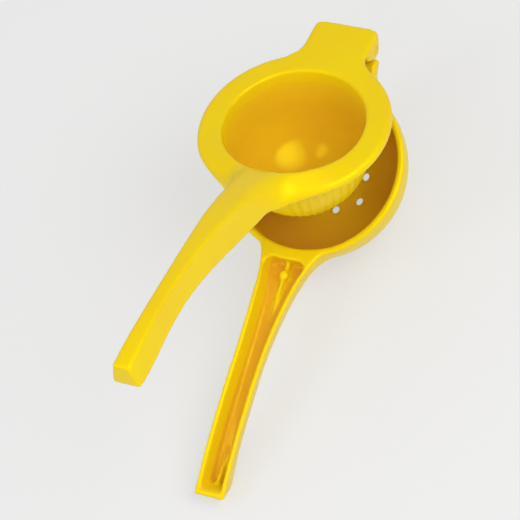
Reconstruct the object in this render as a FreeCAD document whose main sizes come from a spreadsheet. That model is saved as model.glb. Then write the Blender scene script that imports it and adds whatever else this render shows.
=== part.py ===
# Hinged lemon squeezer: two castings on one pin, lying on a table and held open.
# Millimetres. +Z up, hinge at +Y, handles at -Y, origin under the middle of the part on the table.
# Each casting is drawn in its own frame: z = 0 is the top of its ring or rim, centred on its round axis.
import FreeCAD, Part
import Sketcher
import math
import os
import re

V = FreeCAD.Vector
doc = FreeCAD.newDocument("LemonSqueezer")

# Driving dimensions
sizes = {
    # hinge
    "hinge_reach": 49.2,          # ring axis to pin axis
    "pin_drop": 6.3,              # pin axis below the ring's top
    "closed_gap": 8.0,            # ring top above rim top when the two lie parallel
    "pin_radius": 1.5,
    "pin_play": 0.05,             # running clearance in the knuckle, on the radius
    "pin_recess": 0.4,            # each pin end below its cheek's face
    "pin_edge": 0.3,              # chamfer on the pin's ends
    "photo_opening": 27.8,        # degrees between ring and rim in the photographed pose
    # press arm: ring and cup
    "ring_radius": 38.0,
    "ring_thick": 3.7,
    "ring_edge": 1.8,             # rounding of the ring's outer top edge
    "ring_under_edge": 0.8,
    "cup_radius": 27.7,           # outside of the plunger's dome
    "cup_centre_drop": 12.75,     # dome centre below the ring's top
    "cup_wall": 2.9,
    "cup_draft": 12.0,            # degrees
    "press_cut_rise": 12.0,       # how far the hollow's cone runs on above the ring, through the handle's root
    "flute_count": 45,
    "flute_radius": 1.1,
    "flute_depth": 0.6,
    "flute_start": 2.0,           # degrees below the dome's widest line
    "flute_sweep": 56.0,          # degrees
    # press arm: hinge plate and cheeks
    "plate_half": 13.5,
    "plate_back": 5.7,            # plate's rear edge behind the pin axis
    "plate_thick": 2.4,
    "plate_corner": 2.0,          # rear corners, seen from above
    "plate_flare": 6.0,           # how far each side sweeps out over the ring
    "cheek_thick": 4.0,
    "cheek_radius": 3.6,          # around the pin
    "cheek_front": 7.7,           # cheek's front edge ahead of the pin axis
    "cheek_toe": 2.2,             # lower end of the cheek's slanted front edge, ahead of the pin axis
    "cheek_toe_drop": 3.35,       # and below it
    "cheek_brow": 1.0,            # upper end of that edge, above the pin axis
    # press arm: handle, an inverted channel on a gentle bend
    "press_tip": 141.9,           # ring axis to the end of the handle
    "press_crest": 24.9,          # highest point of the bend above the ring's top
    "press_crest_at": 119.0,
    "press_bend": 215.0,          # radius of the bend
    "press_root_at": 24.0,
    "press_root_half": 9.0,
    "press_root_foot": 24.0,      # the root fans out over the ring
    "press_root_sag": 2.2,        # how far the root lies under the line of the bend
    "press_neck_half": 6.2,
    "press_shoulder_half": 4.2,
    "press_grip_half": 2.9,
    "press_end_half": 3.3,
    "press_side_slope": 2.4,      # how much wider each side is at the open edge
    "press_root_deep": 8.0,
    "press_neck_deep": 13.6,
    "press_shoulder_deep": 12.6,
    "press_waist_deep": 11.2,
    "press_end_deep": 10.3,
    "press_wall": 2.0,
    "press_hollow_start": 42.9,   # ring axis to the channel's upper end
    # bowl arm: bowl
    "bowl_radius": 36.9,          # outside
    "bowl_centre_drop": 0.9,      # centre of the half sphere below the rim's top
    "bowl_wall": 2.9,
    "rim_inner_edge": 0.95,
    "drain_radius": 1.65,
    "drain_ring": 10.4,
    "drain_count": 6,
    "drain_back": 0.7,            # middle of the holes behind the bowl's axis
    # bowl arm: knuckle
    "knuckle_radius": 3.3,
    "knuckle_gap": 0.3,           # each side, to the cheek
    "knuckle_under": 9.0,         # depth of the knuckle's web below the rim's top
    "shoulder_reach": 44.4,       # bowl axis to the rear of the web's wide part
    "shoulder_half": 13.6,
    "shoulder_flare": 7.0,        # how far each side sweeps out under the rim
    "shoulder_drop": 0.2,
    "shoulder_thick": 5.0,
    "heel_reach": 47.0,           # the web's wide part slopes down under the cheeks and ends here
    "heel_drop": 2.3,
    "heel_thick": 2.6,
    "core_corner": 3.0,           # upper corners of the channel, seen from above
    "core_edge": 1.1,             # foot of the channel's walls
    # bowl arm: handle, an open channel on the same kind of bend
    "bowl_tip": 137.2,
    "bowl_crest": 13.9,
    "bowl_crest_at": 112.0,
    "bowl_bend": 230.0,
    "bowl_root_at": 28.0,
    "bowl_root_half": 19.5,
    "bowl_neck_half": 10.5,
    "bowl_shoulder_half": 8.1,
    "bowl_arm_half": 6.95,
    "bowl_waist_half": 6.45,
    "bowl_grip_half": 6.4,
    "bowl_side_slope": 2.4,       # how much narrower each side is at the closed underside
    "bowl_root_deep": 9.2,
    "bowl_waist_deep": 9.7,
    "bowl_grip_deep": 10.2,
    "bowl_tip_slope": 32.0,       # degrees the end wall leans in under the rim
    "bowl_handle_wall": 1.9,
    "bowl_handle_floor": 2.2,
    "recess_start": 39.3,         # bowl axis to the channel's upper end
    "core_over": 1.0,             # how far the channel's core stands above the handle's rim
    # bowl arm: ribs on the channel's floor
    "root_rib_half": 0.8,
    "root_rib_end": 64.0,
    "root_rib_top": 1.5,          # below the rim's top at the bowl
    "root_rib_climb": 3.6,        # how much higher its top is at the far end
    "root_rib_tall": 5.0,         # at the bowl
    "boss_at": 45.2,
    "boss_radius": 1.95,
    "boss_rise": 1.8,             # its top above the rib's end at the bowl
    "boss_tall": 4.6,
    "tip_rib_half": 0.9,
    "tip_rib_start": 110.0,
    "tip_rib_end": 132.0,
    "tip_rib_drop": 8.2,          # its top below the handle's rim at the start, just under the floor
    "tip_rib_climb": 3.4,         # how much nearer the rim it ends
    "tip_rib_root": 1.0,          # how deep it stands in the floor
    # stance
    "bowl_axis_at": 42.7,         # from the middle of the part back to the bowl
}

sheet = doc.addObject("Spreadsheet::Sheet", "Sizes")
for row, (name, value) in enumerate(sizes.items(), start=1):
    sheet.set(f"A{row}", name)
    sheet.set(f"B{row}", str(value))
    sheet.setAlias(f"B{row}", name)
doc.recompute()


def cell(text):
    # Every size named in a formula is read from the sheet
    return re.sub(r"[a-z_]+", lambda m: "Sizes." + m[0] if m[0] in sizes else m[0], text)


def bind(item, **formulas):
    for prop, formula in formulas.items():
        item.setExpression(prop.replace("__", "."), cell(formula))


def new_body(label):
    body = doc.addObject("PartDesign::Body", label)
    body.Label = label
    return body


def plane_of(body, role):
    return next(f for f in body.Origin.OriginFeatures if f.Role == role)


def new_sketch(body, name, role):
    sketch = body.newObject("Sketcher::SketchObject", name)
    sketch.AttachmentSupport = (plane_of(body, role), [""])
    sketch.MapMode = "FlatFace"
    return sketch


def place_point(sketch, line, across, up):
    # The start point of a line, tied to the sketch's origin by two formulas
    for kind, axis, formula in (("DistanceX", -2, across), ("DistanceY", -1, up)):
        if formula == "0":
            sketch.addConstraint(on_axis(line, axis))
            continue
        value = sketch.evalExpression(cell(formula))
        number = sketch.addConstraint(away(kind, line, value))
        sketch.setExpression(f"Constraints[{number}]", cell(formula))


def on_axis(line, axis):
    return Sketcher.Constraint("PointOnObject", line, 1, axis)


def away(kind, line, value):
    return Sketcher.Constraint(kind, -1, 1, line, 1, value)


def outline(sketch, corners):
    # A closed outline of straight lines through corners given as pairs of formulas
    spots = [V(sketch.evalExpression(cell(a)), sketch.evalExpression(cell(b)), 0) for a, b in corners]
    count = len(spots)
    first = sketch.GeometryCount
    for i in range(count):
        sketch.addGeometry(Part.LineSegment(spots[i], spots[(i + 1) % count]), False)
    for i in range(count):
        sketch.addConstraint(Sketcher.Constraint("Coincident", first + i, 2, first + (i + 1) % count, 1))
    for i, (a, b) in enumerate(corners):
        place_point(sketch, first + i, a, b)


def primitive(body, kind, name, spot=("0", "0", "0"), axis=V(0, 0, 1), **formulas):
    item = body.newObject("PartDesign::" + kind, name)
    item.Placement = FreeCAD.Placement(V(), FreeCAD.Rotation(V(0, 0, 1), axis))
    for letter, formula in zip("xyz", spot):
        if formula != "0":
            item.setExpression("Placement.Base." + letter, cell(formula))
    bind(item, **formulas)
    return item


def pad_across(body, name, corners, half, reach="0"):
    # A side outline in y and z, as thick as 2 * half and centred at x = reach
    sketch = new_sketch(body, name + "_outline", "YZ_Plane")
    outline(sketch, corners)
    if reach != "0":
        sketch.setExpression("AttachmentOffset.Base.z", cell(reach))
    pad = body.newObject("PartDesign::Pad", name)
    pad.Profile = sketch
    pad.Midplane = True
    bind(pad, Length=f"2 * ({half})")
    return pad


def section(body, name, reach, top, lean, top_half, foot_half, deep):
    # A four-sided section of a handle, hung from the middle of its upper edge
    sketch = new_sketch(body, name, "XZ_Plane")
    sketch.AttachmentOffset = FreeCAD.Placement(V(), FreeCAD.Rotation(V(1, 0, 0), 1))
    sketch.setExpression("AttachmentOffset.Base.y", cell(top))
    sketch.setExpression("AttachmentOffset.Base.z", cell(reach))
    sketch.setExpression("AttachmentOffset.Rotation.Angle", cell(lean))
    outline(sketch, [
        (f"- ({top_half})", "0"),
        (f"- ({foot_half})", f"- ({deep})"),
        (foot_half, f"- ({deep})"),
        (top_half, "0"),
    ])
    return sketch


def loft(body, kind, name, sections):
    item = body.newObject("PartDesign::" + kind, name)
    item.Profile = sections[0]
    item.Sections = [(s, [""]) for s in sections[1:]]
    item.Ruled = False
    return item


def bend_height(arm, reach):
    # Height of a handle's upper edge at a distance from its round axis
    return f"{arm}_crest - ({arm}_crest_at - ({reach})) ^ 2 / (2 * {arm}_bend)"


def bend_lean(arm, reach):
    return f"- atan(({arm}_crest_at - ({reach})) / {arm}_bend)"


def station(arm, share):
    return f"{arm}_root_at + ({share}) * ({arm}_tip - {arm}_root_at)"


def round_edges(body, name, radius, wanted):
    # Rounds the edges of the body's last feature that the test picks
    doc.recompute()
    base = body.Tip
    names = [f"Edge{i}" for i, e in enumerate(base.Shape.Edges, start=1) if wanted(e)]
    item = body.newObject("PartDesign::Fillet", name)
    item.Base = (base, names)
    bind(item, Radius=radius)
    return item


def around(body, name, feature, count, axis):
    item = body.newObject("PartDesign::PolarPattern", name)
    item.Originals = [feature]
    item.Axis = axis
    item.Angle = 360
    bind(item, Occurrences=count)
    body.Tip = item
    return item


def circle_at(edge, radius, height):
    # True for a round edge about the z axis
    box = edge.BoundBox
    level = abs(box.ZMin - height) < 0.02 and abs(box.ZMax - height) < 0.02
    on_it = all(abs(math.hypot(v.X, v.Y) - radius) < 0.02 for v in edge.Vertexes)
    middle = edge.valueAt((edge.FirstParameter + edge.LastParameter) / 2)
    return level and on_it and abs(math.hypot(middle.x, middle.y) - radius) < 0.02


# Press arm
press = new_body("press_arm")
flange = primitive(press, "AdditiveCylinder", "ring", ("0", "0", "- ring_thick"),
                   Radius="ring_radius", Height="ring_thick")
round_edges(press, "ring_top_edge", "ring_edge", lambda e: circle_at(e, sizes["ring_radius"], 0))
round_edges(press, "ring_foot_edge", "ring_under_edge",
            lambda e: circle_at(e, sizes["ring_radius"], -sizes["ring_thick"]))
dome_top = "cup_centre_drop + cup_radius * sin(cup_draft * 1deg)"
cone_height = f"{dome_top} - ring_thick / 2"
cone = primitive(press, "AdditiveCone", "cup_side", ("0", "0", f"- ({dome_top})"),
                 Radius1="cup_radius * cos(cup_draft * 1deg)",
                 Radius2=f"cup_radius * cos(cup_draft * 1deg) + ({cone_height}) * tan(cup_draft * 1deg)",
                 Height=cone_height)
dome = primitive(press, "AdditiveSphere", "cup_dome", ("0", "0", "- cup_centre_drop"),
                 Radius="cup_radius", Angle2="- cup_draft * 1deg")
press_shape = [
    ("0", "press_root_half", "press_root_foot", "press_root_deep"),
    ("0.2", "press_neck_half", "press_neck_half + press_side_slope", "press_neck_deep"),
    ("0.4", "press_shoulder_half", "press_shoulder_half + press_side_slope", "press_shoulder_deep"),
    ("0.6", "press_grip_half", "press_grip_half + press_side_slope", "press_waist_deep"),
    ("0.8", "press_grip_half", "press_grip_half + press_side_slope", "press_waist_deep"),
    ("1", "press_end_half", "press_end_half + press_side_slope", "press_end_deep"),
]
press_sections = []
for i, (share, half, foot, deep) in enumerate(press_shape):
    spot = station("press", share)
    lean = "0" if share == "1" else bend_lean("press", spot)
    top = bend_height("press", spot) + (" - press_root_sag" if share == "0" else "")
    press_sections.append(section(press, f"press_section_{i}", spot, top, lean, half, foot, deep))
press_handle = loft(press, "AdditiveLoft", "press_handle", press_sections)

plate_plan = new_sketch(press, "plate_plan", "XY_Plane")
# The sides sweep out into the ring on a hollow curve
plate_side = [
    ("plate_half + plate_flare", "ring_radius * 0.755"),
    ("plate_half + plate_flare * 0.55", "ring_radius * 0.91"),
    ("plate_half + plate_flare * 0.2", "ring_radius * 0.96"),
    ("plate_half + plate_flare * 0.05", "ring_radius * 1.02"),
    ("plate_half", "ring_radius * 1.09"),
    ("plate_half", "hinge_reach + plate_back"),
]
outline(plate_plan, plate_side + [(f"-({x})", y) for x, y in reversed(plate_side)])
plate = press.newObject("PartDesign::Pad", "hinge_plate")
plate.Profile = plate_plan
plate.Reversed = True
bind(plate, Length="plate_thick")

cheek_side = [
    ("hinge_reach - cheek_front", "-plate_thick / 2"),
    ("hinge_reach + plate_back", "-plate_thick / 2"),
    ("hinge_reach + cheek_radius * 0.98", "-pin_drop - cheek_radius * 0.2"),
    ("hinge_reach", "-pin_drop - cheek_radius"),
    ("hinge_reach - cheek_toe", "-pin_drop - cheek_toe_drop"),
    ("hinge_reach - cheek_front", "cheek_brow - pin_drop"),
]
cheek_middle = "plate_half - cheek_thick / 2"
for side, name in (("", "right"), ("-", "left")):
    pad_across(press, f"cheek_{name}", cheek_side, "cheek_thick / 2", f"{side}({cheek_middle})")
    start = "plate_half - cheek_thick" if side == "" else "-plate_half"
    primitive(press, "AdditiveCylinder", f"cheek_round_{name}", (start, "hinge_reach", "-pin_drop"), V(1, 0, 0),
              Radius="cheek_radius", Height="cheek_thick")

corners = new_sketch(press, "plate_corners", "XY_Plane")
for side in ("", "-"):
    outline(corners, [
        (f"{side}(plate_half + 1)", "hinge_reach + plate_back + 1"),
        (f"{side}(plate_half - plate_corner)", "hinge_reach + plate_back + 1"),
        (f"{side}(plate_half - plate_corner)", "hinge_reach + plate_back"),
        (f"{side}(plate_half - plate_corner * 0.3)", "hinge_reach + plate_back - plate_corner * 0.3"),
        (f"{side}plate_half", "hinge_reach + plate_back - plate_corner"),
        (f"{side}(plate_half + 1)", "hinge_reach + plate_back - plate_corner"),
    ])
trim = press.newObject("PartDesign::Pocket", "plate_trim")
trim.Profile = corners
trim.Midplane = True
bind(trim, Length="4 * ring_thick + 2 * cheek_front")

# The hollow of the cup also cuts the handle's root, so the cup's lip climbs toward the handle
inner_top = "press_cut_rise"
inner_height = f"({dome_top}) + press_cut_rise"
inner_foot = "(cup_radius - cup_wall) * cos(cup_draft * 1deg)"
primitive(press, "SubtractiveCone", "cup_hollow", ("0", "0", f"-({dome_top})"),
          Radius1=inner_foot,
          Radius2=f"{inner_foot} + ({inner_height}) * tan(cup_draft * 1deg)",
          Height=inner_height)
primitive(press, "SubtractiveSphere", "cup_bottom", ("0", "0", "-cup_centre_drop"),
          Radius="cup_radius - cup_wall", Angle2="-cup_draft * 1deg")
doc.recompute()

# The channel is a core of its own, a wall's width inside the handle and stopped short of the ring
press_core = new_body("press_core")
hollow_sections = []
for i, (share, half, foot, deep) in enumerate(press_shape):
    slope = f"(({foot}) - ({half})) / ({deep})"
    spot = "press_tip - press_wall" if share == "1" else station("press", share)
    lean = "0" if share == "1" else bend_lean("press", spot)
    sag = " - press_root_sag" if share == "0" else ""
    hollow_sections.append(section(press_core, f"press_hollow_{i}", spot,
                                   f"{bend_height('press', spot)} - press_wall{sag}", lean,
                                   f"{half} + ({slope}) * press_wall - press_wall",
                                   f"{half} + ({slope}) * (({deep}) + press_wall) - press_wall",
                                   deep))
loft(press_core, "AdditiveLoft", "press_core_run", hollow_sections)
primitive(press_core, "SubtractiveCylinder", "press_core_start", ("0", "0", "-ring_radius"),
          Radius="press_hollow_start", Height="3 * ring_radius")
doc.recompute()
channel = press.newObject("PartDesign::Boolean", "press_channel")
channel.setObjects([press_core])
channel.Type = "Cut"
doc.recompute()
primitive(press, "SubtractiveCylinder", "pin_hole", ("-plate_half - 1", "hinge_reach", "-pin_drop"), V(1, 0, 0),
          Radius="pin_radius", Height="2 * (plate_half + 1)")
doc.recompute()

# Flutes: one round groove run down the dome, then repeated around it
flute_spot = new_sketch(press, "flute_spot", "XY_Plane")
flute_spot.AttachmentOffset = FreeCAD.Placement(V(), FreeCAD.Rotation(V(1, 0, 0), 1))
flute_spot.setExpression("AttachmentOffset.Base.z", cell("-cup_centre_drop"))
flute_spot.setExpression("AttachmentOffset.Rotation.Angle", cell("-flute_start * 1deg"))
out = sizes["cup_radius"] + sizes["flute_radius"] - sizes["flute_depth"]
flute_spot.addGeometry(Part.Circle(V(0, out, 0), V(0, 0, 1), sizes["flute_radius"]), False)
flute_spot.addConstraint(Sketcher.Constraint("PointOnObject", 0, 3, -2))
number = flute_spot.addConstraint(Sketcher.Constraint("DistanceY", -1, 1, 0, 3, out))
flute_spot.setExpression(f"Constraints[{number}]", cell("cup_radius + flute_radius - flute_depth"))
number = flute_spot.addConstraint(Sketcher.Constraint("Radius", 0, sizes["flute_radius"]))
flute_spot.setExpression(f"Constraints[{number}]", cell("flute_radius"))
flute = press.newObject("PartDesign::Groove", "flute")
flute.Profile = flute_spot
flute.ReferenceAxis = (flute_spot, ["H_Axis"])
flute.Reversed = True
bind(flute, Angle="flute_sweep * 1deg")
around(press, "flutes", flute, "flute_count", (plane_of(press, "Z_Axis"), [""]))
doc.recompute()
print("press arm drawn", round(press.Shape.Volume, 1))

# Bowl arm
bowl = new_body("bowl_arm")
rim_lift = "asin(bowl_centre_drop / bowl_radius)"
primitive(bowl, "AdditiveSphere", "bowl_outside", ("0", "0", "-bowl_centre_drop"),
          Radius="bowl_radius", Angle2=rim_lift)
bowl_shape = [
    ("0", "bowl_root_half", "bowl_root_deep"),
    ("1 / 8", "bowl_neck_half", "bowl_root_deep"),
    ("2 / 8", "bowl_shoulder_half", "bowl_root_deep"),
    ("3 / 8", "bowl_arm_half", "bowl_root_deep"),
    ("4 / 8", "bowl_waist_half", "bowl_root_deep"),
    ("5 / 8", "bowl_grip_half", "bowl_waist_deep"),
    ("6 / 8", "bowl_grip_half", "bowl_waist_deep"),
    ("7 / 8", "bowl_grip_half", "bowl_grip_deep"),
    ("1", "bowl_grip_half", "bowl_grip_deep / cos(bowl_tip_slope * 1deg)"),
]
bowl_sections = []
for i, (share, half, deep) in enumerate(bowl_shape):
    spot = station("bowl", share)
    lean = "bowl_tip_slope * 1deg" if share == "1" else bend_lean("bowl", spot)
    bowl_sections.append(section(bowl, f"bowl_section_{i}", spot, bend_height("bowl", spot), lean,
                                 half, f"{half} - bowl_side_slope", deep))
loft(bowl, "AdditiveLoft", "bowl_handle", bowl_sections)
knuckle_half = "plate_half - cheek_thick - knuckle_gap"
pin_rise = "closed_gap - pin_drop"
pad_across(bowl, "knuckle_web", [
    ("bowl_radius - 2 * bowl_wall", "0"),
    ("hinge_reach - knuckle_radius / 2", "0"),
    ("hinge_reach + knuckle_radius / 2", f"({pin_rise}) - knuckle_radius * 0.8"),
    ("bowl_radius - 1", "-knuckle_under"),
], knuckle_half)
shoulder_plan = new_sketch(bowl, "shoulder_plan", "XY_Plane")
shoulder_plan.AttachmentOffset = FreeCAD.Placement(V(0, 0, 1), FreeCAD.Rotation())
shoulder_plan.setExpression("AttachmentOffset.Base.z", cell("-shoulder_drop"))
shoulder_side = [
    ("shoulder_half + shoulder_flare", "bowl_radius * 0.815"),
    ("shoulder_half + shoulder_flare * 0.62", "bowl_radius * 0.955"),
    ("shoulder_half + shoulder_flare * 0.3", "bowl_radius * 1.035"),
    ("shoulder_half + shoulder_flare * 0.08", "bowl_radius * 1.1"),
    ("shoulder_half", "shoulder_reach"),
]
outline(shoulder_plan, shoulder_side + [(f"-({x})", y) for x, y in reversed(shoulder_side)])
shoulder = bowl.newObject("PartDesign::Pad", "shoulder")
shoulder.Profile = shoulder_plan
shoulder.Reversed = True
bind(shoulder, Length="shoulder_thick")
pad_across(bowl, "heel", [
    ("bowl_radius", "-shoulder_drop"),
    ("shoulder_reach", "-shoulder_drop"),
    ("heel_reach", "-heel_drop"),
    ("heel_reach", "-heel_drop - heel_thick"),
    ("bowl_radius", "-shoulder_drop - shoulder_thick"),
], "shoulder_half")
primitive(bowl, "AdditiveCylinder", "knuckle", (f"-({knuckle_half})", "hinge_reach", pin_rise), V(1, 0, 0),
          Radius="knuckle_radius", Height=f"2 * ({knuckle_half})")
primitive(bowl, "SubtractiveSphere", "bowl_inside", ("0", "0", "-bowl_centre_drop"),
          Radius="bowl_radius - bowl_wall", Angle2="90deg")


def rim_circle(edge):
    inner = math.sqrt((sizes["bowl_radius"] - sizes["bowl_wall"]) ** 2 - sizes["bowl_centre_drop"] ** 2)
    return circle_at(edge, inner, 0)


round_edges(bowl, "rim_inside", "rim_inner_edge", rim_circle)
doc.recompute()

# The channel is a core of its own, stopped short of the bowl on an arc about the bowl's axis
core = new_body("bowl_core")
trough_sections = []
for i, (share, half, deep) in enumerate(bowl_shape):
    slope = f"bowl_side_slope / ({deep})"
    if share == "1":
        # The inner end wall stands parallel to the outer one
        spot = "bowl_tip - bowl_handle_wall / cos(bowl_tip_slope * 1deg)"
        lean = "bowl_tip_slope * 1deg"
        down = "(bowl_grip_deep - bowl_handle_floor) / cos(bowl_tip_slope * 1deg)"
    else:
        spot = station("bowl", share)
        lean = bend_lean("bowl", spot)
        down = f"({deep}) - bowl_handle_floor"
    trough_sections.append(section(core, f"core_section_{i}", spot,
                                   f"{bend_height('bowl', spot)} + core_over", lean,
                                   f"{half} - bowl_handle_wall + ({slope}) * core_over",
                                   f"{half} - bowl_handle_wall - ({slope}) * ({down})",
                                   f"({down}) + core_over"))
loft(core, "AdditiveLoft", "core_run", trough_sections)
primitive(core, "SubtractiveCylinder", "core_start", ("0", "0", "-bowl_radius"),
          Radius="recess_start", Height="2 * bowl_radius")


def at_start(edge):
    # The two upright edges at the channel's upper end
    box = edge.BoundBox
    return box.YMin > -sizes["recess_start"] and box.ZLength > sizes["bowl_root_deep"] / 2 and box.YLength < 3


def at_foot(edge):
    # The edges round the channel's floor
    box = edge.BoundBox
    return box.ZMax < 8 and not at_start(edge) and (box.ZMax < 5.5 or box.YLength > 50)


round_edges(core, "core_corners", "core_corner", at_start)
round_edges(core, "core_foot", "core_edge", at_foot)
doc.recompute()
cut = bowl.newObject("PartDesign::Boolean", "bowl_channel")
cut.setObjects([core])
cut.Type = "Cut"

# Ribs on the channel's floor, a boss on the first of them, and the drain holes
pad_across(bowl, "root_rib", [
    ("-recess_start + 1", "-root_rib_top"),
    ("-recess_start + 1", "-root_rib_top - root_rib_tall"),
    ("-root_rib_end", "root_rib_climb - root_rib_top - root_rib_tall / 4"),
    ("-root_rib_end", "root_rib_climb - root_rib_top"),
], "root_rib_half")
primitive(bowl, "AdditiveCylinder", "boss", ("0", "-boss_at", "boss_rise - root_rib_top - boss_tall"),
          Radius="boss_radius", Height="boss_tall")
tip_rib_line = f"{bend_height('bowl', 'tip_rib_end')} - tip_rib_drop"
pad_across(bowl, "tip_rib", [
    ("-tip_rib_start", f"{bend_height('bowl', 'tip_rib_start')} - tip_rib_drop"),
    ("-tip_rib_start", f"{bend_height('bowl', 'tip_rib_start')} - tip_rib_drop - tip_rib_root"),
    ("-tip_rib_end + tip_rib_climb", f"{tip_rib_line} - tip_rib_root"),
    ("-tip_rib_end", f"{tip_rib_line} + tip_rib_climb"),
], "tip_rib_half")
primitive(bowl, "SubtractiveCylinder", "drain_middle", ("0", "drain_back", "-2 * bowl_radius"),
          Radius="drain_radius", Height="1.5 * bowl_radius")
drain_spot = new_sketch(bowl, "drain_spot", "XY_Plane")
drain_spot.setExpression("AttachmentOffset.Base.y", cell("drain_back"))
spot = (sizes["drain_ring"] * math.cos(math.pi / 6), sizes["drain_ring"] * math.sin(math.pi / 6))
drain_spot.addGeometry(Part.Circle(V(*spot, 0), V(0, 0, 1), sizes["drain_radius"]), False)
for kind, value, formula in (("DistanceX", spot[0], "drain_ring * cos(30deg)"),
                             ("DistanceY", spot[1], "drain_ring * sin(30deg)")):
    number = drain_spot.addConstraint(Sketcher.Constraint(kind, -1, 1, 0, 3, value))
    drain_spot.setExpression(f"Constraints[{number}]", cell(formula))
number = drain_spot.addConstraint(Sketcher.Constraint("Radius", 0, sizes["drain_radius"]))
drain_spot.setExpression(f"Constraints[{number}]", cell("drain_radius"))
drain = bowl.newObject("PartDesign::Pocket", "drain")
drain.Profile = drain_spot
bind(drain, Length="2 * bowl_radius")
around(bowl, "drains", drain, "drain_count", (drain_spot, ["N_Axis"]))
primitive(bowl, "SubtractiveCylinder", "pin_bore", ("-plate_half", "hinge_reach", pin_rise), V(1, 0, 0),
          Radius="pin_radius + pin_play", Height="2 * plate_half")
doc.recompute()
print("bowl arm drawn", round(bowl.Shape.Volume, 1))

# Hinge pin
pin = new_body("hinge_pin")
primitive(pin, "AdditiveCylinder", "pin_rod", ("pin_recess - plate_half", "0", "0"), V(1, 0, 0),
          Radius="pin_radius", Height="2 * (plate_half - pin_recess)")
doc.recompute()
pin_edges = pin.newObject("PartDesign::Chamfer", "pin_edges")
pin_edges.Base = (pin.Group[0], ["Edge1", "Edge3"])
bind(pin_edges, Size="pin_edge")

# The bowl arm lies on its bowl and the foot of its tip. The press arm hangs on the same pin, held open.
foot_reach = "bowl_tip - bowl_grip_deep * tan(bowl_tip_slope * 1deg)"
foot_drop = f"bowl_centre_drop + ({bend_height('bowl', 'bowl_tip')}) - bowl_grip_deep"
rest = (f"(asin(bowl_radius / sqrt(({foot_reach}) ^ 2 + ({foot_drop}) ^ 2))"
        f" + atan(({foot_drop}) / ({foot_reach})))")
held = f"({rest} - photo_opening * 1deg)"
pin_y = f"hinge_reach * cos({rest}) - ({pin_rise}) * sin({rest})"
pin_z = f"hinge_reach * sin({rest}) + ({pin_rise}) * cos({rest})"
lift = f"bowl_radius + bowl_centre_drop * cos({rest})"
places = (
    (bowl, rest, "bowl_axis_at", lift),
    (pin, "0", f"bowl_axis_at + {pin_y}", f"{lift} + {pin_z}"),
    (press, held,
     f"bowl_axis_at + {pin_y} - hinge_reach * cos({held}) - pin_drop * sin({held})",
     f"{lift} + {pin_z} - hinge_reach * sin({held}) + pin_drop * cos({held})"),
)
for body, turn, y, z in places:
    body.Placement = FreeCAD.Placement(V(), FreeCAD.Rotation(V(1, 0, 0), 1))
    body.setExpression("Placement.Rotation.Angle", cell(turn) if turn != "0" else "0deg")
    body.setExpression("Placement.Base.y", cell(y))
    body.setExpression("Placement.Base.z", cell(z))
doc.recompute()

os.makedirs("parts", exist_ok=True)
for item in doc.Objects:
    if "Invalid" in item.State or "Error" in item.State:
        raise SystemExit(f"{item.Name} did not recompute: {item.State}")
box = FreeCAD.BoundBox()
for body in (bowl, press, pin):
    if body.Shape.isNull() or not body.Shape.isValid() or len(body.Shape.Solids) != 1:
        raise SystemExit(f"{body.Label} is not one valid solid")
    box.add(body.Shape.BoundBox)
    body.Shape.exportStep(f"parts/{body.Label}.step")
    print(body.Label, round(body.Shape.Volume, 1), body.Placement)
print("box", box)
print("pin at", pin.Placement.Base)
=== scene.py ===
# Hinged lemon squeezer in yellow enamel, lying on its bowl and held open.
# The castings take their shape from the CAD solids and get a cast skin: soft edges, poured corners and
# glossy enamel.
import bpy
import bmesh
import math
import numpy as np
from mathutils import Euler, Matrix, Vector


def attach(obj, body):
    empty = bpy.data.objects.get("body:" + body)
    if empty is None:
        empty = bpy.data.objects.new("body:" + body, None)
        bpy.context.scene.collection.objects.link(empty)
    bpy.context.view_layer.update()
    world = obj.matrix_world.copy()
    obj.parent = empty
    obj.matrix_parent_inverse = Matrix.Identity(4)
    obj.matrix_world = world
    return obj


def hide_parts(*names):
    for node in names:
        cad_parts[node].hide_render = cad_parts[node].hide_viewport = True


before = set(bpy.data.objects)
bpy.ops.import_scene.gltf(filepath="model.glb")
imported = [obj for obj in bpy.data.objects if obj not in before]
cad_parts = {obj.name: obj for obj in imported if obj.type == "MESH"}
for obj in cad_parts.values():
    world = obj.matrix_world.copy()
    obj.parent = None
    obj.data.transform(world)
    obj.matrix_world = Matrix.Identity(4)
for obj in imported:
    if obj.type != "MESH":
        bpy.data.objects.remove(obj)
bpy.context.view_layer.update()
print("frame loaded:", sorted(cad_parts))

mm = 0.001


def srgb(hexText, alpha=1.0):
    # hex as a paint chart gives it, turned to the linear values that shaders want
    parts = [int(hexText[i:i + 2], 16) / 255 for i in (1, 3, 5)]
    linear = [c / 12.92 if c <= 0.04045 else ((c + 0.055) / 1.055) ** 2.4 for c in parts]
    return (*linear, alpha)


def addNode(tree, kind, settings=None, links=None):
    # one node with its settings, socket values and incoming links
    node = tree.nodes.new(kind)
    for name, value in (settings or {}).items():
        if isinstance(name, int) or name in node.inputs:
            node.inputs[name].default_value = value
        else:
            setattr(node, name, value)
    for socket, source in (links or {}).items():
        tree.links.new(source, node.inputs[socket])
    return node


def newMaterial(name):
    material = bpy.data.materials.new(name)
    material.use_nodes = True
    material.node_tree.nodes.clear()
    return material, material.node_tree


# How each casting lies: degrees turned about X, and the place of its own origin in mm. Its own frame has
# z = 0 on its ring or rim and the round axis upright. The inside shade is the share of the deeper colour
# painted as shade inside the cup, or inside the bowl and low in its handle's channel.
castings = {
    "bowl": {"node": "bowl_arm", "turn": 17.787, "centre": (0, 42.70, 37.757), "insideShade": 0.75},
    "press": {"node": "press_arm", "turn": -10.013, "centre": (0, 41.673, 69.164), "insideShade": 0.38},
}


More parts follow.
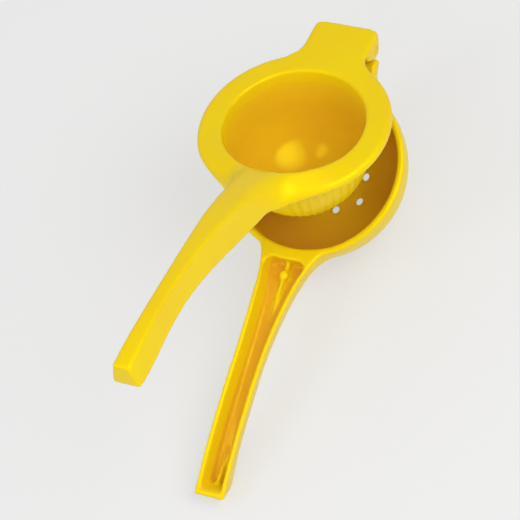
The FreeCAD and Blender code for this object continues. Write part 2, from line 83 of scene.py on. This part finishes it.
def toOwnFrame(points, casting):
    # row frame in metres to the casting's own frame in mm
    a = math.radians(casting["turn"])
    p = points / mm - np.array(casting["centre"])
    return np.stack([p[:, 0], p[:, 1] * math.cos(a) + p[:, 2] * math.sin(a),
                     -p[:, 1] * math.sin(a) + p[:, 2] * math.cos(a)], axis=1)


def toRowFrame(points, casting):
    a = math.radians(casting["turn"])
    p = np.stack([points[:, 0], points[:, 1] * math.cos(a) - points[:, 2] * math.sin(a),
                  points[:, 1] * math.sin(a) + points[:, 2] * math.cos(a)], axis=1)
    return (p + np.array(casting["centre"])) * mm


def ownMatrix(casting):
    return (Matrix.Translation(Vector(casting["centre"]) * mm)
            @ Matrix.Rotation(math.radians(casting["turn"]), 4, "X"))


# Enamel

enamel = {
    "colour": "#E8C90A",
    "shadeAndDriftColour": "#E09F2C",        # painted shade deepens to this in recesses, inside the cup and bowl and at the feet of walls; the slow drift also turns to it
    "edge": "#EDD024",          # where it drew thin over an edge
    "edgeShare": 0.6,           # how far an edge turns to that
    "mottle": 26,               # mm, slow drift of the colour
    "mottleShare": 0.16,        # most that the drift turns to the deeper colour
    "peel": 1.8,                # mm between the crests of the orange peel
    "peelHeight": 0.014,        # mm
    "grain": 0.45,              # mm, the casting's grain under the coat, coarser than real so that it shows
    "grainHeight": 0.004,       # mm
    "patch": 11,                # mm, patches rubbed by hands
    "roughness": (0.3, 0.42),   # least and most in those patches
    "sheltered": 0.13,          # roughness inside the cup and bowl, where hands don't reach
    "gloss": "#D8DE1A",         # tint of the coat's own reflections, so highlights stay yellow
    "noiseRange": (0.3, 0.7),   # where nearly all values of a noise lie
}


def makeEnamel():
    # stove enamel on cast aluminium: a wet, slightly wavy gloss inside the cup and bowl, rubbed softer
    # where hands hold it, paler over edges, with painted shade deeper in corners and inside the cup and bowl
    material, tree = newMaterial("yellow stove enamel on cast aluminium")
    place = addNode(tree, "ShaderNodeTexCoord")
    low, high = enamel["noiseRange"]
    drift = addNode(tree, "ShaderNodeTexNoise", {"Scale": 1 / (enamel["mottle"] * mm), "Detail": 2.0},
                    {"Vector": place.outputs["Object"]})
    driftShare = addNode(tree, "ShaderNodeMapRange", {
        "From Min": low, "From Max": high, "To Min": 0.0, "To Max": enamel["mottleShare"]},
        {"Value": drift.outputs["Fac"]})
    # the deeper colour comes in with the slow random drift, and as painted shade in corners and inside the
    # cup and bowl
    paintedShade = addNode(tree, "ShaderNodeAttribute", {"attribute_name": "paintedShade"})
    driftAndShadeShare = addNode(tree, "ShaderNodeMath", {"operation": "ADD", "use_clamp": True},
                    {0: driftShare.outputs[0], 1: paintedShade.outputs["Fac"]})
    coat = addNode(tree, "ShaderNodeMix", {
        "data_type": "RGBA", 6: srgb(enamel["colour"]), 7: srgb(enamel["shadeAndDriftColour"])}, {0: driftAndShadeShare.outputs[0]})
    edge = addNode(tree, "ShaderNodeAttribute", {"attribute_name": "edge"})
    thin = addNode(tree, "ShaderNodeMath", {"operation": "MULTIPLY", 1: enamel["edgeShare"]},
                   {0: edge.outputs["Fac"]})
    worn = addNode(tree, "ShaderNodeMix", {"data_type": "RGBA", 7: srgb(enamel["edge"])},
                   {0: thin.outputs[0], 6: coat.outputs[2]})
    handled = addNode(tree, "ShaderNodeTexNoise", {"Scale": 1 / (enamel["patch"] * mm), "Detail": 3.0},
                      {"Vector": place.outputs["Object"]})
    smooth, rough = enamel["roughness"]
    rubbed = addNode(tree, "ShaderNodeMapRange", {
        "From Min": low, "From Max": high, "To Min": smooth, "To Max": rough},
        {"Value": handled.outputs["Fac"]})
    sheltered = addNode(tree, "ShaderNodeAttribute", {"attribute_name": "sheltered"})
    gloss = addNode(tree, "ShaderNodeMix", {"data_type": "FLOAT", 3: enamel["sheltered"]},
                    {0: sheltered.outputs["Fac"], 2: rubbed.outputs[0]})
    peel = addNode(tree, "ShaderNodeTexNoise", {
        "Scale": 1 / (enamel["peel"] * mm), "Detail": 1.0, "Roughness": 0.4},
        {"Vector": place.outputs["Object"]})
    grain = addNode(tree, "ShaderNodeTexNoise", {"Scale": 1 / (enamel["grain"] * mm), "Detail": 2.0},
                    {"Vector": place.outputs["Object"]})
    waves = addNode(tree, "ShaderNodeBump", {"Strength": 1.0, "Distance": enamel["peelHeight"] * mm},
                    {"Height": peel.outputs["Fac"]})
    bump = addNode(tree, "ShaderNodeBump", {"Strength": 1.0, "Distance": enamel["grainHeight"] * mm},
                   {"Height": grain.outputs["Fac"], "Normal": waves.outputs[0]})
    shader = addNode(tree, "ShaderNodeBsdfPrincipled", {
        "IOR": 1.5, "Specular Tint": srgb(enamel["gloss"])}, {
        "Base Color": worn.outputs[2], "Roughness": gloss.outputs[0], "Normal": bump.outputs[0]})
    addNode(tree, "ShaderNodeOutputMaterial", links={"Surface": shader.outputs[0]})
    return material


steel = {
    "colour": "#B9B6B0",
    "overspray": "#DDBB0D",     # the coat that ran over the pin's two ends
    "coatedPast": 12.6,         # mm from the middle
    "roughness": 0.36,
    "turning": 1.57,            # mm between the lathe's rings, coarser than real so that they show
    "turningHeight": 0.006,     # mm
}


def makeSteel():
    # turned steel pin, its ends sprayed over with the castings: bright rings round the rod, dull yellow caps
    material, tree = newMaterial("turned steel pin with enamelled ends")
    place = addNode(tree, "ShaderNodeTexCoord")
    parts = addNode(tree, "ShaderNodeSeparateXYZ", links={0: place.outputs["Object"]})
    away = addNode(tree, "ShaderNodeMath", {"operation": "ABSOLUTE"}, {0: parts.outputs[0]})
    coated = addNode(tree, "ShaderNodeMath", {"operation": "GREATER_THAN", 1: steel["coatedPast"] * mm},
                     {0: away.outputs[0]})
    bare = addNode(tree, "ShaderNodeMath", {"operation": "SUBTRACT", 0: 1.0}, {1: coated.outputs[0]})
    colour = addNode(tree, "ShaderNodeMix", {
        "data_type": "RGBA", 6: srgb(steel["colour"]), 7: srgb(steel["overspray"])}, {0: coated.outputs[0]})
    # the wave texture has 20 radians to each unit of its scale
    rings = addNode(tree, "ShaderNodeTexWave", {
        "bands_direction": "X", "Scale": 2 * math.pi / 20 / (steel["turning"] * mm), "Distortion": 1.0},
        {"Vector": place.outputs["Object"]})
    bump = addNode(tree, "ShaderNodeBump", {"Strength": 1.0, "Distance": steel["turningHeight"] * mm},
                   {"Height": rings.outputs["Fac"]})
    shader = addNode(tree, "ShaderNodeBsdfPrincipled", {"Roughness": steel["roughness"]}, {
        "Base Color": colour.outputs[2], "Metallic": bare.outputs[0], "Normal": bump.outputs[0]})
    addNode(tree, "ShaderNodeOutputMaterial", links={"Surface": shader.outputs[0]})
    return material


enamelCoat = makeEnamel()
pinSteel = makeSteel()
print("materials made")


# Cast skin

skin = {
    "merge": 0.005,                 # mm within which the corners of the solid's loose triangles join
    "fine": 0.32,                   # mm, the grid on which edges are first rounded over
    "finePasses": 14,
    "voxel": 0.64,                  # mm, the grid of the finished skin
    "passes": 2,
    "pull": 0.5,                    # share of the way to its neighbours' middle that a pass moves a point
    "tilt": (0.61, 0.47, 0.73),     # turns the grid askew to every edge, so none is stepped in long waves
    "cornerShade": 0.3,              # share of the deeper colour painted as shade in concave corners
    "cornerBend": (60, 500),        # bend per metre at which a corner starts to count, and counts in full
    "edgeBend": (250, 700),         # the same for outer edges
    "bendPasses": 4,                # how far the bend is evened out
}


def plainObject(name, mesh):
    thing = bpy.data.objects.new(name, mesh)
    bpy.context.collection.objects.link(thing)
    return thing


def solidCopy(name, nodeName):
    # the CAD node's loose triangles, joined into one closed shell
    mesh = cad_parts[nodeName].data.copy()
    shell = bmesh.new()
    shell.from_mesh(mesh)
    bmesh.ops.remove_doubles(shell, verts=shell.verts, dist=skin["merge"] * mm)
    shell.to_mesh(mesh)
    shell.free()
    return plainObject(name, mesh)


def settle(thing):
    # modifiers applied by reading the evaluated object
    made = bpy.data.meshes.new_from_object(thing.evaluated_get(bpy.context.evaluated_depsgraph_get()))
    thing.modifiers.clear()
    thing.data = made


def neighbourSum(edges, values, count):
    a, b = edges[:, 0], edges[:, 1]
    return np.bincount(a, values[b], count) + np.bincount(b, values[a], count)


def neighbourCount(edges, count):
    a, b = edges[:, 0], edges[:, 1]
    return np.maximum(np.bincount(a, minlength=count) + np.bincount(b, minlength=count), 1)


def relax(points, edges, passes, weight):
    # each point moves toward the middle of its neighbours
    count = len(points)
    degree = neighbourCount(edges, count)
    for _ in range(passes):
        for axis in range(3):
            column = points[:, axis]
            middle = neighbourSum(edges, column, count) / degree
            points[:, axis] = column + skin["pull"] * weight * (middle - column)
    return points


def smoothStep(span, value):
    # 0 before the span, 1 past it
    low, high = span
    t = np.clip((value - low) / (high - low), 0, 1)
    return t * t * (3 - 2 * t)


def hump(rise, fall, value):
    # up over one span and down again over another
    return smoothStep(rise, value) * (1 - smoothStep(fall, value))


def readMesh(mesh):
    points = np.zeros(len(mesh.vertices) * 3)
    mesh.vertices.foreach_get("co", points)
    edges = np.zeros(len(mesh.edges) * 2, int)
    mesh.edges.foreach_get("vertices", edges)
    return points.reshape(-1, 3), edges.reshape(-1, 2)


def writeMesh(mesh, points):
    mesh.vertices.foreach_set("co", points.ravel())
    mesh.update()


def markCoatAndShade(mesh, casting, inside):
    # the shade layer is painted shade, rising in concave corners and inside the cup or bowl; "edge" rises
    # along outer edges, "sheltered" is 1 inside the cup or bowl
    points, edges = readMesh(mesh)
    normals = np.zeros(len(mesh.vertices) * 3)
    mesh.vertices.foreach_get("normal", normals)
    normals = normals.reshape(-1, 3)
    a, b = edges[:, 0], edges[:, 1]
    step = points[b] - points[a]
    bend = ((normals[b] - normals[a]) * step).sum(1) / np.maximum((step * step).sum(1), 1e-12)
    count = len(points)
    degree = neighbourCount(edges, count)
    curve = (np.bincount(a, bend, count) + np.bincount(b, bend, count)) / degree
    for _ in range(skin["bendPasses"]):
        curve = neighbourSum(edges, curve, count) / degree
    corner = smoothStep(skin["cornerBend"], -curve)
    own = toOwnFrame(points, casting)
    facing = toOwnFrame(points + normals * mm, casting) - own
    within = inside(own, facing)
    layers = {"paintedShade": np.maximum(skin["cornerShade"] * corner, casting["insideShade"] * within),
              "edge": smoothStep(skin["edgeBend"], curve), "sheltered": within}
    for name, values in layers.items():
        layer = mesh.attributes.new(name, "FLOAT", "POINT")
        layer.data.foreach_set("value", values)


def remesh(thing, size):
    askew = Euler(skin["tilt"]).to_matrix().to_4x4()
    thing.data.transform(askew)
    modifier = thing.modifiers.new("skin", "REMESH")
    modifier.mode = "VOXEL"
    modifier.voxel_size = size * mm
    settle(thing)
    thing.data.transform(askew.inverted())


def castSkin(name, casting, regions, inside, cutter, lift=None):
    # regions are pairs: how often to relax, and the function that says where
    thing = solidCopy(name, casting["node"])
    cut = thing.modifiers.new("cut", "BOOLEAN")
    cut.operation = "DIFFERENCE"
    cut.solver = "MANIFOLD"
    cut.object = cutter
    settle(thing)
    bpy.data.objects.remove(cutter)
    # rounded over on the fine grid first, so the finished grid meets no sharp edge to step along
    remesh(thing, skin["fine"])
    points, edges = readMesh(thing.data)
    own = toOwnFrame(points, casting)
    if lift:
        own[:, 2] += lift(own)
    own = relax(own, edges, skin["finePasses"], np.ones(len(own)))
    writeMesh(thing.data, toRowFrame(own, casting))
    fine = plainObject("fineSkin", thing.data.copy())
    remesh(thing, skin["voxel"])
    wrap = thing.modifiers.new("onto the fine skin", "SHRINKWRAP")
    wrap.target = fine
    wrap.wrap_method = "NEAREST_SURFACEPOINT"
    settle(thing)
    bpy.data.objects.remove(fine)
    points, edges = readMesh(thing.data)
    own = relax(toOwnFrame(points, casting), edges, skin["passes"], np.ones(len(points)))
    for passes, weight in regions:
        own = relax(own, edges, passes, weight(own))
    writeMesh(thing.data, toRowFrame(own, casting))
    thing.data.materials.clear()
    thing.data.materials.append(enamelCoat)
    thing.data.shade_smooth()
    markCoatAndShade(thing.data, casting, inside)
    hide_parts(casting["node"])
    print(name, "skinned:", len(thing.data.polygons), "faces")
    return thing


# Flutes and drain holes: cutters grown by Geometry Nodes, taken out of the castings before their skin

def newTree(name, sizes):
    # a geometry tree with one named input for each size
    tree = bpy.data.node_groups.new(name, "GeometryNodeTree")
    for size, value in sizes.items():
        kind = "NodeSocketInt" if isinstance(value, int) else "NodeSocketFloat"
        tree.interface.new_socket(size, in_out="INPUT", socket_type=kind)
    tree.interface.new_socket("Geometry", in_out="OUTPUT", socket_type="NodeSocketGeometry")
    return tree, addNode(tree, "NodeGroupInput").outputs


def finishTree(tree, instances, material):
    real = addNode(tree, "GeometryNodeRealizeInstances", links={0: instances})
    painted = addNode(tree, "GeometryNodeSetMaterial", {"Material": material}, {0: real.outputs[0]})
    addNode(tree, "NodeGroupOutput", links={0: painted.outputs[0]})
    return tree


def sweep(tree, path, radius, profile):
    # a round tube along a path, its radius a field
    sized = addNode(tree, "GeometryNodeSetCurveRadius", links={"Curve": path, "Radius": radius})
    tube = addNode(tree, "GeometryNodeCurveToMesh", {"Fill Caps": True},
                   {"Curve": sized.outputs[0], "Profile Curve": profile})
    if "Scale" in tube.inputs:
        tree.links.new(radius, tube.inputs["Scale"])
    return tube.outputs[0]


def ringAngle(tree, index, size):
    # even steps round the axis, the first at Turn
    share = addNode(tree, "ShaderNodeMath", {"operation": "DIVIDE"}, {0: index.outputs[0], 1: size["Count"]})
    return addNode(tree, "ShaderNodeMath", {"operation": "MULTIPLY_ADD", 1: 2 * math.pi},
                   {0: share.outputs[0], 2: size["Turn"]})


def grown(name, tree, sizes, matrix):
    # the tree's result as a plain mesh, its inputs set by the sockets' identifiers
    thing = plainObject(name, bpy.data.meshes.new(name))
    modifier = thing.modifiers.new(name, "NODES")
    modifier.node_group = tree
    for item in tree.interface.items_tree:
        if item.in_out == "INPUT":
            modifier[item.identifier] = sizes[item.name]
    settle(thing)
    thing.data.transform(matrix)
    print(name, "grown:", len(thing.data.polygons), "faces")
    return thing


flutes = {
    "sizes": {
        "Count": 45,
        "Dome radius": 27.7 * mm,
        "Tool radius": 1.25 * mm,
        "Depth": 0.78 * mm,
        "Start": math.radians(1),       # below the dome's widest line
        "Sweep": math.radians(60),
        "Run out": 0.16,                # share of the length over which each end fades
        "End width": 0.3,               # share of the tool's radius that is left at the ends
        "Turn": math.radians(90),
    },
    "domeDrop": 12.75,                  # mm, dome's centre below the ring's top
}


def fluteTree():
    tree, size = newTree("flutes round the dome", flutes["sizes"])
    lift = addNode(tree, "ShaderNodeMath", {"operation": "SUBTRACT"},
                   {0: size["Tool radius"], 1: size["Depth"]})
    reach = addNode(tree, "ShaderNodeMath", {"operation": "ADD"},
                    {0: size["Dome radius"], 1: lift.outputs[0]})
    arc = addNode(tree, "GeometryNodeCurveArc", {"mode": "RADIUS", "Resolution": 28}, {
        "Radius": reach.outputs[0], "Start Angle": size["Start"], "Sweep Angle": size["Sweep"]})
    # laid flat by the arc node, then stood up so that it runs down the dome
    stood = addNode(tree, "GeometryNodeTransform", {"Rotation": (-math.pi / 2, 0, 0)},
                    {"Geometry": arc.outputs[0]})
    along = addNode(tree, "GeometryNodeSplineParameter")
    left = addNode(tree, "ShaderNodeMath", {"operation": "SUBTRACT", 0: 1.0}, {1: along.outputs["Factor"]})
    nearEnd = addNode(tree, "ShaderNodeMath", {"operation": "MINIMUM"},
                      {0: along.outputs["Factor"], 1: left.outputs[0]})
    fade = addNode(tree, "ShaderNodeMapRange", {"interpolation_type": "SMOOTHSTEP", "To Max": 1.0}, {
        "Value": nearEnd.outputs[0], "From Max": size["Run out"], "To Min": size["End width"]})
    profile = addNode(tree, "GeometryNodeCurvePrimitiveCircle", {"mode": "RADIUS", "Resolution": 14},
                      {"Radius": size["Tool radius"]})
    tube = sweep(tree, stood.outputs[0], fade.outputs[0], profile.outputs[0])
    spots = addNode(tree, "GeometryNodeMeshLine", {"Offset": (0, 0, 0)}, {"Count": size["Count"]})
    index = addNode(tree, "GeometryNodeInputIndex")
    turn = addNode(tree, "ShaderNodeCombineXYZ", links={"Z": ringAngle(tree, index, size).outputs[0]})
    placed = addNode(tree, "GeometryNodeInstanceOnPoints", links={
        "Points": spots.outputs[0], "Instance": tube, "Rotation": turn.outputs[0]})
    return finishTree(tree, placed.outputs[0], enamelCoat)


drains = {
    "sizes": {
        "Count": 6,                     # in the ring round the middle one
        "Bowl radius": 36.9 * mm,
        "Ring radius": 10.4 * mm,
        "Hole radius": 1.68 * mm,
        "Mouth": 0.5 * mm,              # how much wider the hole opens at the outside
        "Wall": 2.9 * mm,
        "Flare from": 0.30,             # shares of the punch's length between which its mouth closes in;
        "Flare to": 0.44,               # the bowl's outer face lies a third of the way up
        "Turn": math.radians(30),
    },
    "centreDrop": 0.9,                  # mm, bowl's centre below its rim
    "back": 0.7,                        # mm, middle of the holes behind the bowl's axis
}


def drainTree():
    tree, size = newTree("drain punches", drains["sizes"])
    below = addNode(tree, "ShaderNodeMath", {"operation": "MULTIPLY", 1: -1.0}, {0: size["Wall"]})
    above = addNode(tree, "ShaderNodeMath", {"operation": "MULTIPLY", 1: 2.0}, {0: size["Wall"]})
    foot = addNode(tree, "ShaderNodeCombineXYZ", links={"Z": below.outputs[0]})
    head = addNode(tree, "ShaderNodeCombineXYZ", links={"Z": above.outputs[0]})
    line = addNode(tree, "GeometryNodeCurvePrimitiveLine", links={
        "Start": foot.outputs[0], "End": head.outputs[0]})
    fine = addNode(tree, "GeometryNodeResampleCurve", {"Count": 24}, {"Curve": line.outputs[0]})
    along = addNode(tree, "GeometryNodeSplineParameter")
    flare = addNode(tree, "ShaderNodeMapRange", {
        "interpolation_type": "SMOOTHSTEP", "To Min": 1.0, "To Max": 0.0}, {
        "Value": along.outputs["Factor"], "From Min": size["Flare from"], "From Max": size["Flare to"]})
    radius = addNode(tree, "ShaderNodeMath", {"operation": "MULTIPLY_ADD"},
                     {0: flare.outputs[0], 1: size["Mouth"], 2: size["Hole radius"]})
    profile = addNode(tree, "GeometryNodeCurvePrimitiveCircle", {
        "mode": "RADIUS", "Resolution": 28, "Radius": 1.0})
    punch = sweep(tree, fine.outputs[0], radius.outputs[0], profile.outputs[0])
    # one point in the middle, then the ring, each set on the bowl's outer face
    total = addNode(tree, "ShaderNodeMath", {"operation": "ADD", 1: 1.0}, {0: size["Count"]})
    spots = addNode(tree, "GeometryNodeMeshLine", {"Offset": (0, 0, 0)}, {"Count": total.outputs[0]})
    index = addNode(tree, "GeometryNodeInputIndex")
    angle = ringAngle(tree, index, size)
    ringed = addNode(tree, "ShaderNodeMath", {"operation": "MINIMUM", 1: 1.0}, {0: index.outputs[0]})
    reach = addNode(tree, "ShaderNodeMath", {"operation": "MULTIPLY"},
                    {0: ringed.outputs[0], 1: size["Ring radius"]})
    cosine = addNode(tree, "ShaderNodeMath", {"operation": "COSINE"}, {0: angle.outputs[0]})
    sine = addNode(tree, "ShaderNodeMath", {"operation": "SINE"}, {0: angle.outputs[0]})
    x = addNode(tree, "ShaderNodeMath", {"operation": "MULTIPLY"},
                {0: reach.outputs[0], 1: cosine.outputs[0]})
    y = addNode(tree, "ShaderNodeMath", {"operation": "MULTIPLY"},
                {0: reach.outputs[0], 1: sine.outputs[0]})
    bowlSquare = addNode(tree, "ShaderNodeMath", {"operation": "POWER", 1: 2.0}, {0: size["Bowl radius"]})
    reachSquare = addNode(tree, "ShaderNodeMath", {"operation": "POWER", 1: 2.0}, {0: reach.outputs[0]})
    left = addNode(tree, "ShaderNodeMath", {"operation": "SUBTRACT"},
                   {0: bowlSquare.outputs[0], 1: reachSquare.outputs[0]})
    depth = addNode(tree, "ShaderNodeMath", {"operation": "SQRT"}, {0: left.outputs[0]})
    z = addNode(tree, "ShaderNodeMath", {"operation": "MULTIPLY", 1: -1.0}, {0: depth.outputs[0]})
    spot = addNode(tree, "ShaderNodeCombineXYZ", links={
        "X": x.outputs[0], "Y": y.outputs[0], "Z": z.outputs[0]})
    seated = addNode(tree, "GeometryNodeSetPosition", links={
        "Geometry": spots.outputs[0], "Position": spot.outputs[0]})
    placed = addNode(tree, "GeometryNodeInstanceOnPoints", links={
        "Points": seated.outputs[0], "Instance": punch})
    return finishTree(tree, placed.outputs[0], enamelCoat)


fluteCutters = grown("fluteCutters", fluteTree(), flutes["sizes"],
                     ownMatrix(castings["press"]) @ Matrix.Translation((0, 0, -flutes["domeDrop"] * mm)))
drainPunches = grown("drainPunches", drainTree(), drains["sizes"],
                     ownMatrix(castings["bowl"])
                     @ Matrix.Translation((0, drains["back"] * mm, -drains["centreDrop"] * mm)))

# Where each casting is rounded over more, or gets deeper painted shade. All in mm in its own frame. A pair
# is the span over which something fades in or out.

press = {
    "lipRise": 4.4,             # how far the cup's lip climbs on the handle's side
    "lipBand": (28.7, 37.5),    # radius over which that climb runs out into the ring
    "lipRadius": (20, 26),      # radius over which the cup's wall joins in
    "lipTop": (-7, -0.3),       # height over which it does
    "rootRise": (22, 30),       # along the handle: rounding of its root fades in
    "rootFall": (44, 66),       # and out
    "rootTop": (-6, -1),        # height over which it fades in
    "rootPasses": 45,
    "ridgeRise": (3, 6),        # to each side: rounding of the root's crest fades in
    "ridgeFall": (19, 24),      # and out
    "ridgeRadius": (29.6, 31.5),
    "ridgeEnd": (44, 52),       # along the handle
    "ridgeTop": (-3.5, -0.5),
    "ridgePasses": 90,          # the crest runs out into the ring
    "plateFrom": (36, 41),      # behind the ring's axis: rounding of the hinge plate's sides fades in
    "plateMiddle": 9.8,         # half width in which it stays sharp, beside the knuckle
    "platePasses": 8,
    "cupWall": (25.2, 26.6),    # distance from the dome's centre, between the cup's inside and the flutes
    "cupFlare": 0.2,            # how much the cup widens for each mm above that centre
    "cupDepth": (1, 9),         # below the ring's top
}


def lipLift(own):
    # the ring's inner band climbs toward the handle
    x, y, z = own.T
    r = np.hypot(x, y)
    toward = np.clip(-y / np.maximum(r, 1e-6), 0, 1) ** 2
    want = press["lipRise"] * toward * (1 - smoothStep(press["lipBand"], r))
    near = smoothStep(press["lipRadius"], r) * smoothStep(press["lipTop"], z)
    return np.clip(want - z * (z > 0), 0, None) * near


def rootWeight(own):
    return hump(press["rootRise"], press["rootFall"], -own[:, 1]) * smoothStep(press["rootTop"], own[:, 2])


def ridgeWeight(own):
    x, y, z = own.T
    r = np.hypot(x, y)
    beside = hump(press["ridgeRise"], press["ridgeFall"], np.abs(x))
    reach = smoothStep(press["ridgeRadius"], r) * (1 - smoothStep(press["ridgeEnd"], -y)) * (y < 0)
    return beside * reach * smoothStep(press["ridgeTop"], z)


def plateWeight(own):
    return smoothStep(press["plateFrom"], own[:, 1]) * (np.abs(own[:, 0]) > press["plateMiddle"])


def insideCup(own, facing):
    # the inside of the plunger's cup, coming in below the ring's top: painted shade and a sheltered gloss
    # there
    r = np.hypot(own[:, 0], own[:, 1])
    height = own[:, 2] + flutes["domeDrop"]
    reach = np.sqrt(r ** 2 + np.minimum(height, 0) ** 2) - np.maximum(height, 0) * press["cupFlare"]
    return (1 - smoothStep(press["cupWall"], reach)) * smoothStep(press["cupDepth"], -own[:, 2])


bowl = {
    "rootRise": (34, 37),       # along the handle: rounding of its root fades in
    "rootFall": (50, 58),       # and out
    "rootAside": (7.5, 9.5),    # to each side
    "rootPasses": 10,
    "wall": (34.3, 35.4),       # distance from the middle of the rim, between the bowl's two faces
    "depth": (0.5, 6),          # below the rim
    "crest": 13.9,              # the handle's bend: its highest point, where that is, and its radius
    "crestAt": 112,
    "bend": 230,
    "channelFrom": 39,          # along the handle
    "channelDepth": (4.5, 7),   # below the handle's rim
    "channelFloor": (7.9, 8.4),
    "channelFacing": (0.2, 0.8),    # how squarely a face looks up or inward, not mm
}


def insideBowl(own, facing):
    # the bowl's inner face, and the floor and lower walls of the handle's channel, which face up or inward:
    # painted shade and a sheltered gloss there
    x, y, z = own.T
    reach = np.sqrt((own ** 2).sum(1))
    within = (1 - smoothStep(bowl["wall"], reach)) * smoothStep(bowl["depth"], -z)
    rim = bowl["crest"] - (bowl["crestAt"] + y) ** 2 / (2 * bowl["bend"])
    sunk = hump(bowl["channelDepth"], bowl["channelFloor"], rim - z) * (y < -bowl["channelFrom"])
    sunk *= smoothStep(bowl["channelFacing"], facing[:, 2] - np.sign(x) * facing[:, 0])
    return np.maximum(within, sunk)


def bowlRootWeight(own):
    return (hump(bowl["rootRise"], bowl["rootFall"], -own[:, 1])
            * smoothStep(bowl["rootAside"], np.abs(own[:, 0])))


pressSkin = castSkin("pressCasting", castings["press"],
                     [(press["rootPasses"], rootWeight), (press["ridgePasses"], ridgeWeight),
                      (press["platePasses"], plateWeight)],
                     insideCup, fluteCutters, lipLift)
bowlSkin = castSkin("bowlCasting", castings["bowl"], [(bowl["rootPasses"], bowlRootWeight)],
                    insideBowl, drainPunches)
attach(pressSkin, "press_arm")
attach(bowlSkin, "bowl_arm")

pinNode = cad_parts["hinge_pin"]
pinNode.data.materials.clear()
pinNode.data.materials.append(pinSteel)
print("pin finished")

# Camera, matched to the photograph's outlines

camera = {
    "place": (398.02, -413.75, 875.46),     # mm
    "turn": (31.555, 14.717, 21.986),       # degrees about X, Y and Z
    "focalPixels": 2630,
    "framePixels": 520,
    "sensor": 36,                           # mm
    "clipStart": 0.01,                      # m
}


def makeCamera():
    data = bpy.data.cameras.new("photoCamera")
    data.sensor_width = camera["sensor"]
    data.lens = camera["focalPixels"] / camera["framePixels"] * camera["sensor"]
    data.clip_start = camera["clipStart"]
    shot = bpy.data.objects.new("photoCamera", data)
    shot.location = Vector(camera["place"]) * mm
    shot.rotation_euler = [math.radians(a) for a in camera["turn"]]
    bpy.context.collection.objects.link(shot)
    bpy.context.scene.camera = shot


makeCamera()

# Floor and light

studio = {
    "background": "#EBEBEB",
    "floor": "#E6E6E6",
    "floorSize": 4.0,           # m
    "room": 0.62,               # plain level of the light from all round
    "lift": 0.6,                # how much of the background's tone the floor shows under the shadow
    "fade": (0.35, 1.2),        # m from the middle, over which the floor turns into the background
    "aim": (0, 0.03, 0.05),     # m, the cup
}
# Azimuth and height in degrees from the cup, distance and size in metres, watts. A lamp for the gloss only
# shows in the enamel's reflections and lights nothing.
lamps = {
    "softbox": {"from": (-5, 49), "away": 0.9, "size": (0.62, 0.72), "power": 4.0},
    "reflector": {"from": (-130, 47), "away": 0.9, "size": (0.26, 0.5), "power": 1.2},
    "front": {"from": (-82, 24), "away": 1.1, "size": (0.8, 0.4), "power": 1.6},
    "window": {"from": (-6, 49), "away": 1.0, "size": (1.15, 1.4), "power": 16, "glossOnly": True},
    "strip": {"from": (-130, 47), "away": 0.9, "size": (0.32, 0.8), "power": 2.6, "glossOnly": True},
}


def backgroundRays(tree):
    # 1 for what the camera, gloss and glass see, 0 for the light itself
    path = addNode(tree, "ShaderNodeLightPath")
    either = addNode(tree, "ShaderNodeMath", {"operation": "MAXIMUM"},
                     {0: path.outputs["Is Camera Ray"], 1: path.outputs["Is Glossy Ray"]})
    seen = addNode(tree, "ShaderNodeMath", {"operation": "MAXIMUM"},
                   {0: either.outputs[0], 1: path.outputs["Is Transmission Ray"]})
    return seen.outputs[0]


def makeFloor():
    half = studio["floorSize"] / 2
    corners = [(-half, -half, 0), (half, -half, 0), (half, half, 0), (-half, half, 0)]
    mesh = bpy.data.meshes.new("floor")
    mesh.from_pydata(corners, [], [(0, 1, 2, 3)])
    floor = plainObject("floor", mesh)
    material, tree = newMaterial("matt paper sweep")
    shader = addNode(tree, "ShaderNodeBsdfDiffuse", {"Color": srgb(studio["floor"])})
    tone = addNode(tree, "ShaderNodeEmission", {"Color": srgb(studio["background"]), "Strength": 1.0})
    # past the shadow the floor fades into the background, so no horizon shows in low views
    place = addNode(tree, "ShaderNodeTexCoord")
    away = addNode(tree, "ShaderNodeVectorMath", {"operation": "LENGTH"}, {0: place.outputs["Object"]})
    near, far = studio["fade"]
    lift = addNode(tree, "ShaderNodeMapRange", {
        "interpolation_type": "SMOOTHSTEP", "From Min": near, "From Max": far,
        "To Min": studio["lift"], "To Max": 1.0}, {"Value": away.outputs["Value"]})
    lifted = addNode(tree, "ShaderNodeMath", {"operation": "MULTIPLY"},
                     {0: backgroundRays(tree), 1: lift.outputs[0]})
    mix = addNode(tree, "ShaderNodeMixShader", links={
        0: lifted.outputs[0], 1: shader.outputs[0], 2: tone.outputs[0]})
    addNode(tree, "ShaderNodeOutputMaterial", links={"Surface": mix.outputs[0]})
    mesh.materials.append(material)


def makeRoom():
    world = bpy.data.worlds.new("studio")
    bpy.context.scene.world = world
    world.use_nodes = True
    tree = world.node_tree
    tree.nodes.clear()
    light = addNode(tree, "ShaderNodeBackground", {"Color": (1, 1, 1, 1), "Strength": studio["room"]})
    seen = addNode(tree, "ShaderNodeBackground", {"Color": srgb(studio["background"]), "Strength": 1.0})
    mix = addNode(tree, "ShaderNodeMixShader", links={
        0: backgroundRays(tree), 1: light.outputs[0], 2: seen.outputs[0]})
    addNode(tree, "ShaderNodeOutputWorld", links={"Surface": mix.outputs[0]})


def makeLamp(name, lamp):
    data = bpy.data.lights.new(name, "AREA")
    data.shape = "ELLIPSE"
    data.size, data.size_y = lamp["size"]
    data.energy = lamp["power"]
    turn, height = (math.radians(a) for a in lamp["from"])
    level = math.cos(height)
    way = Vector((level * math.cos(turn), level * math.sin(turn), math.sin(height)))
    box = bpy.data.objects.new(name, data)
    box.location = Vector(studio["aim"]) + way * lamp["away"]
    box.rotation_euler = way.to_track_quat("Z", "Y").to_euler()
    box.visible_diffuse = not lamp.get("glossOnly", False)
    bpy.context.collection.objects.link(box)


makeFloor()
makeRoom()
for name, lamp in lamps.items():
    makeLamp(name, lamp)
bpy.context.scene.view_settings.view_transform = "Standard"
print("camera, floor and lamps set")
